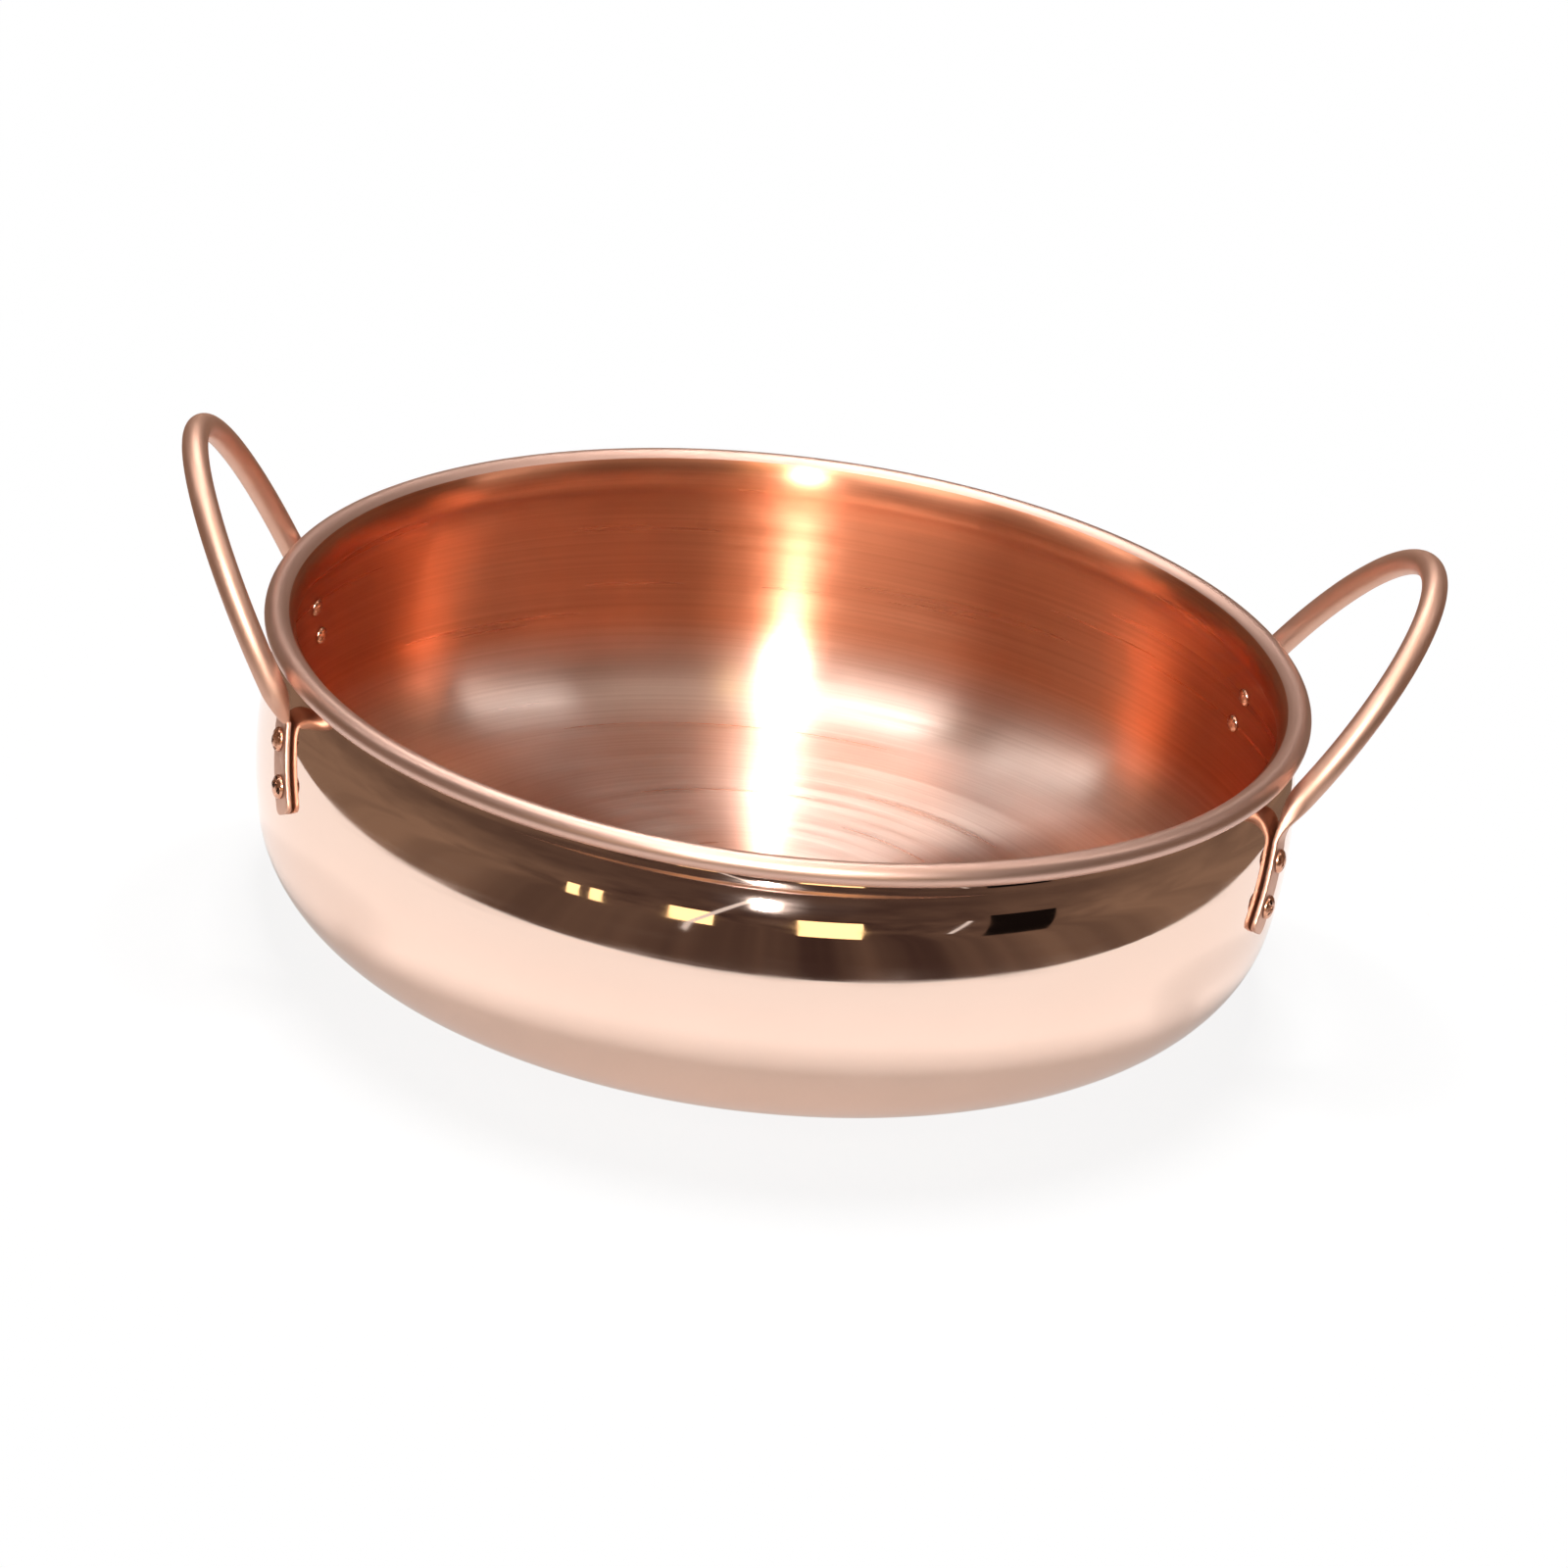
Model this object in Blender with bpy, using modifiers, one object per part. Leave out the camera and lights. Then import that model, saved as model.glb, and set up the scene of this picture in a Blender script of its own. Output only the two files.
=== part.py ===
"""Copper hot pot: a spun copper pot with a wired rim and two riveted rod handles.

Lengths are in metres and +Z is up. The origin is the centre of the flat base. The handles
stand on the X axis. Each of the four handle feet is hammered flat, bent to the belly and held
by two rivets that pass through foot and wall.
"""

import math

import bmesh
import bpy
from mathutils import Matrix, Vector

# Fits
FIT_GAP = 0.0003            # left between pieces that touch
HOLE_CLEARANCE = 0.0003     # all round a rivet shank

# Pot shell
WALL = 0.0012
POT_HEIGHT = 0.0928         # base to the top of the rim
BELLY_RADIUS = 0.1593       # widest outer radius of the wall
BELLY_DROP = 0.0432         # widest point, below the rim's top
BELLY_CURVE = 0.1400        # radius of the long arc that forms the belly
CORNER_RADIUS = 0.0325      # outer radius between wall and base
SHOULDER_DROP = 0.0235      # where the belly starts to turn in, below the rim's top
NECK_INSET = 0.0081         # belly radius less neck radius, outside
NECK_CURVE = 0.0068         # outer radius of the hollow under the lip
LIP_REACH = 0.0053          # neck to the bead's centre, measured outwards
CURL_SEAM = 0.0005          # left between the curl's free edge and the neck

# Rim wire
WIRE_DIAMETER = 0.0040

# Handles
ROD_DIAMETER = 0.0078
LOOP_HALF_WIDTH = 0.0546    # middle of the rod, at the foot of the loop
LOOP_LENGTH = 0.0726        # along the leaning plane, up to the middle of the arch
LEG_START = 0.0090          # length of the loop that the bend above the foot takes up

# How each handle was set by hand: its turn about the pot's axis, its lean from upright, its
# upper rivets' mean height below the shoulder and its loop's lowest line above the shoulder
LEFT_TURN = math.radians(180)
LEFT_TILT = math.radians(28.3)
LEFT_DROP = 0.0034
LEFT_RISE = 0.0073
RIGHT_TURN = math.radians(-1.7)
RIGHT_TILT = math.radians(34.6)
RIGHT_DROP = 0.0045
RIGHT_RISE = 0.0060

# Handle feet
FOOT_WIDTH = 0.0100
FOOT_THICKNESS = 0.0018
FOOT_OUTSET = 0.0022        # middle of a foot at its upper rivet, outside the loop's leg
FOOT_SHIFT = 0.0037         # both feet stand this far to one side of the loop's middle
FOOT_CANT = 0.0021          # one foot stands this much higher and the other this much lower
FOOT_SPLAY = math.radians(28.0)
FOOT_CORNER = 0.0026        # rounding of the foot's end
FOOT_TOE = 0.0080           # lower rivet to the foot's end
FOOT_HEEL = 0.0048          # upper rivet to where the foot leaves the belly

# Rivets
RIVET_DIAMETER = 0.0040
RIVET_PITCH = 0.0138        # along the foot
HEAD_DIAMETER = 0.0074
HEAD_HEIGHT = 0.0018
TAIL_DIAMETER = 0.0060
TAIL_HEIGHT = 0.0014

# Facets
TURN_STEPS = 64
BEAD_STEPS = 9
NECK_STEPS = 4
SHOULDER_STEPS = 4
BELLY_STEPS = 6
CORNER_STEPS = 6
WIRE_SIDES = 8
ROD_SIDES = 12
FOOT_STEPS = 5
FOOT_CORNER_STEPS = 3
BEND_STEPS = 6
LOOP_STEPS = 12
RIVET_SIDES = 12
DOME_STEPS = 4
HOLE_SIDES = 16

# Sections of the rod: the exponent of the curve |x|^n + |y|^n = 1 that outlines them
ROUND_SECTION = 2.0
FLAT_SECTION = 6.0

MERGE_DISTANCE = 1e-6
SHARP_EDGE = math.radians(35)
CUTTER_OVERRUN = 0.0020

# Worked out from the sizes above
CURL_RADIUS = WIRE_DIAMETER / 2 + FIT_GAP
BEAD_RADIUS = CURL_RADIUS + WALL
BELLY_HEIGHT = POT_HEIGHT - BELLY_DROP
SHOULDER_HEIGHT = POT_HEIGHT - SHOULDER_DROP
NECK_RADIUS = BELLY_RADIUS - NECK_INSET
LOOP_STANDOFF = math.sqrt(BELLY_RADIUS**2 - LOOP_HALF_WIDTH**2)    # plumb over the belly's edge
FOOT_DEPTH = -(FIT_GAP + FOOT_THICKNESS / 2)    # middle of a foot, outside the wall's outer face


def heading(angle):
    """Unit vector at an angle from the first axis of a plane."""
    return Vector((math.cos(angle), math.sin(angle)))


def blend(start, end, share):
    """Value that lies this share of the way from start to end."""
    return start + (end - start) * share


def ease(share):
    """Share that leaves 0 and reaches 1 without a kink."""
    return share * share * (3 - 2 * share)


def arc(centre, radius, start, end, steps):
    """Points along a circle's arc, both ends included."""
    return [centre + radius * heading(blend(start, end, i / steps)) for i in range(steps + 1)]


class WallShape:
    """Half-section of the pot's wall as five arcs, each tangent to the next.

    A point of the plane is (distance from the axis, height). A depth counts from the wall's
    outer face into the metal.
    """

    def __init__(self):
        self.bead = Vector((NECK_RADIUS + LIP_REACH, POT_HEIGHT - BEAD_RADIUS))
        across = NECK_RADIUS + NECK_CURVE - self.bead.x
        apart = NECK_CURVE - CURL_RADIUS
        self.neck = Vector((self.bead.x + across, self.bead.y - math.sqrt(apart**2 - across**2)))
        to_bead = self.bead - self.neck
        self.lip_angle = math.atan2(to_bead.y, to_bead.x)

        self.belly = Vector((BELLY_RADIUS - BELLY_CURVE, BELLY_HEIGHT))
        self.shoulder_angle = self.belly_angle(SHOULDER_HEIGHT)
        normal = heading(self.shoulder_angle)
        to_start = self.belly + BELLY_CURVE * normal - self.neck
        spread = to_start.length_squared - NECK_CURVE**2
        self.shoulder_radius = spread / (2 * (to_start.dot(normal) + NECK_CURVE))
        self.shoulder = self.belly + (BELLY_CURVE - self.shoulder_radius) * normal
        to_neck = self.neck - self.shoulder
        self.neck_angle = math.atan2(to_neck.y, to_neck.x)

        rise = BELLY_HEIGHT - CORNER_RADIUS
        self.corner_angle = -math.asin(rise / (BELLY_CURVE - CORNER_RADIUS))
        self.corner = self.belly + (BELLY_CURVE - CORNER_RADIUS) * heading(self.corner_angle)

    def belly_angle(self, height):
        """Angle of the belly's outward normal above the horizontal."""
        return math.asin((height - self.belly.y) / BELLY_CURVE)

    def belly_point(self, angle, depth):
        """Point at this depth where the belly's normal stands at this angle."""
        return self.belly + (BELLY_CURVE - depth) * heading(angle)

    def curl_sweep(self):
        """Angle that the lip curls through before its free edge nears the neck."""
        reach = NECK_CURVE - CURL_SEAM
        apart = NECK_CURVE - CURL_RADIUS
        cosine = (reach**2 - apart**2 - BEAD_RADIUS**2) / (2 * apart * BEAD_RADIUS)
        return 2 * math.pi - math.acos(cosine)

    def path(self, depth):
        """Points at one depth from the curl's free edge down to the middle of the base."""
        stretches = (
            (self.bead, CURL_RADIUS + depth,
             self.lip_angle - self.curl_sweep(), self.lip_angle, BEAD_STEPS),
            (self.neck, NECK_CURVE + depth, self.lip_angle, self.neck_angle + math.pi, NECK_STEPS),
            (self.shoulder, self.shoulder_radius - depth,
             self.neck_angle, self.shoulder_angle, SHOULDER_STEPS),
            (self.belly, BELLY_CURVE - depth,
             self.shoulder_angle, self.corner_angle, BELLY_STEPS),
            (self.corner, CORNER_RADIUS - depth, self.corner_angle, -math.pi / 2, CORNER_STEPS),
        )
        points = []
        for centre, radius, start, end, steps in stretches:
            first = 1 if points else 0
            points += arc(centre, radius, start, end, steps)[first:]
        return points + [Vector((0, depth))]


WALL_SHAPE = WallShape()


class Setting:
    """How one handle is set on the pot."""

    def __init__(self, turn, tilt, drop, rise):
        self.turn = turn
        self.tilt = tilt
        self.rivet_height = SHOULDER_HEIGHT - drop
        self.loop_height = SHOULDER_HEIGHT + rise


def make_collection(name):
    """New collection in the scene."""
    collection = bpy.data.collections.new(name)
    bpy.context.scene.collection.children.link(collection)
    return collection


def make_material(name, colour, roughness):
    """Bare metal as a Principled material, its colour given as linear red, green and blue."""
    material = bpy.data.materials.new(name)
    material.use_nodes = True
    shader = material.node_tree.nodes["Principled BSDF"]
    shader.inputs["Base Color"].default_value = (*colour, 1)
    shader.inputs["Roughness"].default_value = roughness
    shader.inputs["Metallic"].default_value = 1
    return material


def add_object(name, mesh, collection, material=None):
    """Object for a mesh, in its collection and with its material."""
    if material is not None and not mesh.materials:
        mesh.materials.append(material)
    part = bpy.data.objects.new(name, mesh)
    collection.objects.link(part)
    return part


def turned_mesh(name, profile):
    """Mesh that holds only a half-section, for a Screw modifier to turn."""
    mesh = bpy.data.meshes.new(name)
    edges = [(i, i + 1) for i in range(len(profile) - 1)]
    mesh.from_pydata([(point.x, 0, point.y) for point in profile], edges, [])
    return mesh


def turn(part, steps):
    """Turn an object's half-section once round its Z axis."""
    screw = part.modifiers.new("Turn", "SCREW")
    screw.steps = steps
    screw.render_steps = steps
    screw.use_merge_vertices = True
    screw.merge_threshold = MERGE_DISTANCE
    screw.use_smooth_shade = True
    return screw


def smooth(mesh):
    """Smooth shading that keeps true corners sharp."""
    mesh.shade_smooth()
    mesh.set_sharp_from_angle(angle=SHARP_EDGE)


def drill(part, cutters):
    """Cut each cutter out of a part."""
    for cutter in cutters:
        cut = part.modifiers.new(cutter.name, "BOOLEAN")
        cut.operation = "DIFFERENCE"
        cut.solver = "EXACT"
        cut.object = cutter


def build_pot(collection, material):
    """Spun shell whose lip curls round the rim wire and leaves an open seam under the bead."""
    inner = WALL_SHAPE.path(WALL)
    outer = WALL_SHAPE.path(0)
    mesh = turned_mesh("pot_body", inner[::-1] + outer)
    pot = add_object("pot_body", mesh, collection, material)
    turn(pot, TURN_STEPS)
    return pot


def build_wire(collection, material):
    """Closed ring of wire that stiffens the rim from inside the curl."""
    bpy.ops.mesh.primitive_torus_add(
        major_radius=WALL_SHAPE.bead.x,
        minor_radius=WIRE_DIAMETER / 2,
        major_segments=TURN_STEPS,
        minor_segments=WIRE_SIDES,
        location=(0, 0, WALL_SHAPE.bead.y),
    )
    wire = bpy.context.object
    wire.name = "rim_wire"
    wire.data.name = "rim_wire"
    wire.data.materials.append(material)
    smooth(wire.data)
    for holder in list(wire.users_collection):
        holder.objects.unlink(wire)
    collection.objects.link(wire)
    return wire


def foot_place(run, setting, side):
    """Middle of a foot and its outward normal, this far down the foot from the upper rivet.

    The side is 1 for the higher foot, which stands nearer the centre plane, and -1 for the other.
    """
    height = setting.rivet_height + side * FOOT_CANT - run * math.cos(FOOT_SPLAY)
    angle = WALL_SHAPE.belly_angle(height)
    point = WALL_SHAPE.belly_point(angle, FOOT_DEPTH)
    aside = side * (LOOP_HALF_WIDTH + FOOT_OUTSET + run * math.sin(FOOT_SPLAY)) - FOOT_SHIFT
    azimuth = math.asin(aside / point.x)
    place = Vector((point.x * math.cos(azimuth), aside, point.y))
    level = math.cos(angle)
    normal = Vector((level * math.cos(azimuth), level * math.sin(azimuth), math.sin(angle)))
    return place, normal


def foot_half_width(from_end):
    """Half the width of a foot at a distance from its rounded end."""
    if from_end >= FOOT_CORNER:
        return FOOT_WIDTH / 2
    drop = FOOT_CORNER - from_end
    return FOOT_WIDTH / 2 - FOOT_CORNER + math.sqrt(FOOT_CORNER**2 - drop**2)


def foot_stations(setting, side):
    """Stations of a foot, from its rounded end up to where it leaves the belly."""
    end_run = RIVET_PITCH + FOOT_TOE
    length = end_run + FOOT_HEEL
    corner = [
        FOOT_CORNER * (1 - math.cos(math.pi / 2 * i / FOOT_CORNER_STEPS))
        for i in range(FOOT_CORNER_STEPS)
    ]
    body = [blend(FOOT_CORNER, length, i / FOOT_STEPS) for i in range(FOOT_STEPS + 1)]
    stations = []
    for from_end in corner + body:
        place, normal = foot_place(end_run - from_end, setting, side)
        stations.append((place, normal, foot_half_width(from_end), 1.0))
    return stations


def loop_place(length, setting, side):
    """Middle of the rod at a length up the loop, which is half an ellipse in a leaning plane."""
    share = min(length / LOOP_LENGTH, 1.0)
    return Vector((
        LOOP_STANDOFF + length * math.sin(setting.tilt),
        side * LOOP_HALF_WIDTH * math.sqrt(1 - share**2),
        setting.loop_height + length * math.cos(setting.tilt),
    ))


def loop_stations(setting, side):
    """Stations of half the loop, from above the foot to the middle of the arch."""
    normal = Vector((math.cos(setting.tilt), 0, -math.sin(setting.tilt)))
    first = math.asin(LEG_START / LOOP_LENGTH)
    stations = []
    for i in range(LOOP_STEPS + 1):
        length = LOOP_LENGTH * math.sin(blend(first, math.pi / 2, i / LOOP_STEPS))
        place = loop_place(length, setting, side)
        stations.append((place, normal, ROD_DIAMETER / 2, 0.0))
    return stations


def bend_stations(foot, loop):
    """Stations between foot and loop, where the rod swells from flat to round."""
    start, start_normal = foot[-1][:2]
    end, end_normal = loop[0][:2]
    span = (end - start).length
    leave = (start - foot[-2][0]).normalized() * span
    arrive = (loop[1][0] - end).normalized() * span
    stations = []
    for i in range(1, BEND_STEPS):
        t = i / BEND_STEPS
        place = (
            start * (2 * t**3 - 3 * t**2 + 1)
            + leave * (t**3 - 2 * t**2 + t)
            + end * (3 * t**2 - 2 * t**3)
            + arrive * (t**3 - t**2)
        )
        flatness = 1 - ease(t)
        half_width = blend(ROD_DIAMETER / 2, FOOT_WIDTH / 2, flatness)
        normal = start_normal.lerp(end_normal, t)
        stations.append((place, normal, half_width, flatness))
    return stations


def half_stations(setting, side):
    """Stations of one half of a handle, from the end of its foot to the middle of the arch."""
    foot = foot_stations(setting, side)
    loop = loop_stations(setting, side)
    return foot + bend_stations(foot, loop) + loop


def section_ring(place, along, normal, half_width, flatness):
    """Outline of the rod square to its run, from round to flat with rounded edges."""
    outward = (normal - along * normal.dot(along)).normalized()
    aside = along.cross(outward)
    half_thickness = blend(ROD_DIAMETER, FOOT_THICKNESS, flatness) / 2
    power = 2 / blend(ROUND_SECTION, FLAT_SECTION, flatness)
    ring = []
    for i in range(ROD_SIDES):
        turn_vector = heading(2 * math.pi * i / ROD_SIDES)
        across = math.copysign(abs(turn_vector.x) ** power, turn_vector.x)
        through = math.copysign(abs(turn_vector.y) ** power, turn_vector.y)
        ring.append(place + aside * (half_width * across) + outward * (half_thickness * through))
    return ring


def loft_mesh(name, rings):
    """Closed skin over a row of rings, with a face on the first ring and on the last."""
    shape = bmesh.new()
    rows = [[shape.verts.new(point) for point in ring] for ring in rings]
    for low, high in zip(rows, rows[1:]):
        for i in range(len(low)):
            j = (i + 1) % len(low)
            shape.faces.new((low[i], low[j], high[j], high[i]))
    shape.faces.new(rows[0][::-1])
    shape.faces.new(rows[-1])
    mesh = bpy.data.meshes.new(name)
    shape.to_mesh(mesh)
    shape.free()
    smooth(mesh)
    return mesh


def build_handle(name, setting, collection, material):
    """One hand-bent rod handle, lofted from the end of its higher foot to the end of the other."""
    stations = half_stations(setting, 1) + half_stations(setting, -1)[-2::-1]
    rings = []
    for i, (place, normal, half_width, flatness) in enumerate(stations):
        before = stations[max(i - 1, 0)][0]
        after = stations[min(i + 1, len(stations) - 1)][0]
        along = (after - before).normalized()
        rings.append(section_ring(place, along, normal, half_width, flatness))
    handle = add_object(name, loft_mesh(name, rings), collection, material)
    handle.rotation_euler.z = setting.turn
    return handle


def rivet_profile():
    """Half-section of a closed rivet, from the head's crown to the tail's.

    Height counts from the wall's outer face, outwards.
    """
    shank = RIVET_DIAMETER / 2
    seat = FIT_GAP + FOOT_THICKNESS + FIT_GAP
    clinch = -(WALL + FIT_GAP)
    head = []
    tail = []
    for i in range(DOME_STEPS + 1):
        turn_vector = heading(math.pi / 2 * i / DOME_STEPS)
        crown = Vector((turn_vector.y * HEAD_DIAMETER / 2, seat + turn_vector.x * HEAD_HEIGHT))
        head.append(crown)
        foot = Vector((turn_vector.x * TAIL_DIAMETER / 2, clinch - turn_vector.y * TAIL_HEIGHT))
        tail.append(foot)
    head[0].x = 0
    tail[-1].x = 0
    return head + [Vector((shank, seat)), Vector((shank, clinch))] + tail


def rivet_frames(setting):
    """Place and turn of a handle's four rivets, by the name of each."""
    frames = {}
    turn_matrix = Matrix.Rotation(setting.turn, 4, "Z")
    for side in (-1, 1):
        for level, run in (("lower", RIVET_PITCH), ("upper", 0)):
            place, normal = foot_place(run, setting, side)
            face = place + normal * FOOT_DEPTH
            frame = Matrix.Translation(face) @ normal.to_track_quat("Z", "X").to_matrix().to_4x4()
            world = turn_matrix @ frame
            foot = "front" if world.translation.y < 0 else "back"
            frames[f"{foot}_{level}"] = world
    return frames


def build_cutter(name, frame, collection):
    """Drill for one rivet, long enough to pass through foot and wall."""
    low = -(WALL + CUTTER_OVERRUN)
    high = FIT_GAP + FOOT_THICKNESS + CUTTER_OVERRUN
    radius = RIVET_DIAMETER / 2 + HOLE_CLEARANCE
    shape = bmesh.new()
    bmesh.ops.create_cone(
        shape,
        cap_ends=True,
        segments=HOLE_SIDES,
        radius1=radius,
        radius2=radius,
        depth=high - low,
        matrix=Matrix.Translation((0, 0, (high + low) / 2)),
    )
    mesh = bpy.data.meshes.new(name)
    shape.to_mesh(mesh)
    shape.free()
    cutter = add_object(name, mesh, collection)
    cutter.matrix_world = frame
    cutter.hide_render = True
    cutter.display_type = "WIRE"
    return cutter


def build_rivet(name, mesh, frame, collection):
    """One rivet, placed on its hole."""
    rivet = add_object(name, mesh, collection)
    rivet.matrix_world = frame
    turn(rivet, RIVET_SIDES)
    return rivet


def main():
    for old in list(bpy.data.objects):
        bpy.data.objects.remove(old)
    parts = make_collection("copper_hot_pot")
    cutters = make_collection("drills")

    polished = make_material("polished_copper", colour=(0.88, 0.52, 0.40), roughness=0.10)
    drawn = make_material("drawn_copper_rod", colour=(0.84, 0.47, 0.36), roughness=0.24)
    peened = make_material("peened_copper", colour=(0.80, 0.42, 0.31), roughness=0.32)
    steel = make_material("steel_wire", colour=(0.46, 0.45, 0.44), roughness=0.45)

    pot = build_pot(parts, polished)
    build_wire(parts, steel)
    rivet_mesh = turned_mesh("rivet", rivet_profile())
    rivet_mesh.materials.append(peened)

    settings = {
        "left": Setting(LEFT_TURN, LEFT_TILT, LEFT_DROP, LEFT_RISE),
        "right": Setting(RIGHT_TURN, RIGHT_TILT, RIGHT_DROP, RIGHT_RISE),
    }
    for side, setting in settings.items():
        handle = build_handle(f"handle_{side}", setting, parts, drawn)
        frames = rivet_frames(setting)
        drills = []
        for place, frame in frames.items():
            drills.append(build_cutter(f"drill_{side}_{place}", frame, cutters))
            build_rivet(f"rivet_{side}_{place}", rivet_mesh, frame, parts)
        drill(handle, drills)
        drill(pot, drills)


main()
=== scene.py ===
import math

import bmesh
import bpy
from bpy.props import FloatProperty, FloatVectorProperty, IntProperty, PointerProperty
from mathutils import Matrix, Vector


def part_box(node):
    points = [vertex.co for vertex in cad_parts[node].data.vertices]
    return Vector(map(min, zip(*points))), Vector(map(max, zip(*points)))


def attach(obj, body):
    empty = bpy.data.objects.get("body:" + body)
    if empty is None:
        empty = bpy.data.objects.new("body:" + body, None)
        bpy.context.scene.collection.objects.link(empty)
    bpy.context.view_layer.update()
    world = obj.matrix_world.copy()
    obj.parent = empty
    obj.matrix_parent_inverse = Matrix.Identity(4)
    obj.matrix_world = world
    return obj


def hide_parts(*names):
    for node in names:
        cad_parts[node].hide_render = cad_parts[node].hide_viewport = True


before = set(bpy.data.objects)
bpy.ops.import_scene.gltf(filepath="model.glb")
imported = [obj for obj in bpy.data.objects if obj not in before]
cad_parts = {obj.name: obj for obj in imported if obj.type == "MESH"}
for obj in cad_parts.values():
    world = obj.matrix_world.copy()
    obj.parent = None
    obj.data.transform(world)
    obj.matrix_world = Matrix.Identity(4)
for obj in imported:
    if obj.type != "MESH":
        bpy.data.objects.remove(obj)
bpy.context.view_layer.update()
pot_low, pot_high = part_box("pot_body")

bl_info = {
    "name": "Copper hot pot",
    "version": (1, 0, 0),
    "blender": (4, 5, 0),
    "location": "3D View > Sidebar > Hot pot",
    "description": "Spun copper pot with a wired rim and two riveted rod handles",
    "category": "Object",
}

ROUND_SECTION = 2.0
FLAT_SECTION = 6.0


def linear(hex_colour):
    """Linear red, green and blue of an sRGB colour written as #rrggbb."""
    values = []
    for i in (1, 3, 5):
        share = int(hex_colour[i:i + 2], 16) / 255
        values.append(share / 12.92 if share <= 0.04045 else ((share + 0.055) / 1.055) ** 2.4)
    return values


def length(name, description, default):
    """A length in metres that a user may change."""
    return FloatProperty(name=name, description=description, default=default, unit="LENGTH", precision=5)


def angle(name, description, degrees):
    """An angle that a user may change."""
    return FloatProperty(name=name, description=description, default=math.radians(degrees), subtype="ANGLE")


def colour(name, description, hex_colour):
    """A colour that a user may change."""
    return FloatVectorProperty(
        name=name, description=description, default=linear(hex_colour), subtype="COLOR", min=0, max=1
    )


class PotSizes(bpy.types.PropertyGroup):
    height: length("Height", "Base to the top of the rim", pot_high.z)
    rim_radius: length("Rim radius", "Axis to the outside of the bead", pot_high.x)
    wall: length("Wall", "Thickness of the sheet", 0.0012)
    wire: length("Rim wire", "Diameter of the wire in the rim", 0.0040)
    fit: length("Fit", "Left between pieces that touch", 0.0003)
    belly_radius: length("Belly radius", "Widest radius of the wall", 0.1593)
    belly_drop: length("Belly drop", "Widest point, below the rim's top", 0.0432)
    belly_curve: length("Belly curve", "Radius of the long arc of the belly", 0.1400)
    corner_radius: length("Corner radius", "Between wall and base", 0.0325)
    shoulder_drop: length("Shoulder drop", "Where the belly turns in, below the rim's top", 0.0235)
    neck_inset: length("Neck inset", "Belly radius less neck radius", 0.0081)
    neck_curve: length("Neck curve", "Radius of the hollow under the lip", 0.0068)
    seam: length("Seam", "Left between the curl's free edge and the neck", 0.0005)
    turn_steps: IntProperty(name="Steps round", description="Facets round the pot", default=240, min=32)


class HandleSizes(bpy.types.PropertyGroup):
    rod: length("Rod", "Diameter of the rod", 0.0078)
    loop_half_width: length("Loop half width", "Middle of the rod at the foot of the loop", 0.0546)
    loop_length: length("Loop length", "Along the leaning plane, up to the arch", 0.0726)
    leg_start: length("Leg start", "Length of the loop that the bend takes up", 0.0090)
    left_turn: angle("Left turn", "Left handle, round the pot's axis", 180)
    left_tilt: angle("Left lean", "Left handle, from upright", 28.3)
    left_drop: length("Left drop", "Left upper rivets, below the shoulder", 0.0034)
    left_rise: length("Left rise", "Left loop's lowest line, above the shoulder", 0.0073)
    right_turn: angle("Right turn", "Right handle, round the pot's axis", -1.7)
    right_tilt: angle("Right lean", "Right handle, from upright", 34.6)
    right_drop: length("Right drop", "Right upper rivets, below the shoulder", 0.0045)
    right_rise: length("Right rise", "Right loop's lowest line, above the shoulder", 0.0060)
    foot_width: length("Foot width", "Width of the hammered foot", 0.0100)
    foot_thickness: length("Foot thickness", "Thickness of the hammered foot", 0.0018)
    foot_outset: length("Foot outset", "Middle of a foot, outside the loop's leg", 0.0022)
    foot_shift: length("Foot shift", "Both feet, to one side of the loop's middle", 0.0037)
    foot_cant: length("Foot cant", "One foot higher and the other lower by this", 0.0021)
    foot_splay: angle("Foot splay", "Lean of a foot from upright", 28)
    foot_corner: length("Foot corner", "Rounding of the foot's end", 0.0026)
    foot_toe: length("Foot toe", "Lower rivet to the foot's end", 0.0080)
    foot_heel: length("Foot heel", "Upper rivet to where the foot leaves the belly", 0.0048)
    sides: IntProperty(name="Sides", description="Facets round the rod", default=32, min=12)


class RivetSizes(bpy.types.PropertyGroup):
    pitch: length("Pitch", "Between a foot's two rivets", 0.0138)
    shank: length("Shank", "Diameter of the shank", 0.0040)
    head_diameter: length("Head diameter", "Outside head", 0.0074)
    head_height: length("Head height", "Outside head", 0.0018)
    tail_diameter: length("Tail diameter", "Inside head", 0.0060)
    tail_height: length("Tail height", "Inside head", 0.0014)
    flat_depth: length("Hammer mark", "Depth of a hammer's flat on a head", 0.00016)


class Finishes(bpy.types.PropertyGroup):
    polished: colour("Polished copper", "Outside of the wall", "#fcdecd")
    brushed: colour("Brushed copper", "Floor of the pot, inside", "#f0dacd")
    # Painted reflection: this redder inner-wall colour stands in for the red light that copper mirrors from
    # copper, not for heat.
    painted_reflection_red: colour("Tinted copper", "Inside of the wall, reddened by heat", "#e39874")
    bead: colour("Rim copper", "Rolled bead", "#d8b2a2")
    rod: colour("Rod copper", "Handles", "#e2b7a2")
    rivet: colour("Rivet copper", "Rivet heads", "#efb496")
    steel: colour("Steel", "Rim wire", "#8d8b88")
    floor: colour("Floor", "Studio floor", "#ffffff")
    room_dark: colour("Room's front", "Darkest part of the room that the metal mirrors", "#3b2c28")
    room_side: colour("Room's sides", "Browner part of the room that the metal mirrors", "#86705f")
    ceiling: colour("Ceiling", "Pale ceiling over the room", "#cfc2b9")
    flag: colour("Flag", "Black flag on its stand", "#120e0d")
    lamp: colour("Lamp", "Warm lamps in the room", "#ffe2a8")


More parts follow.
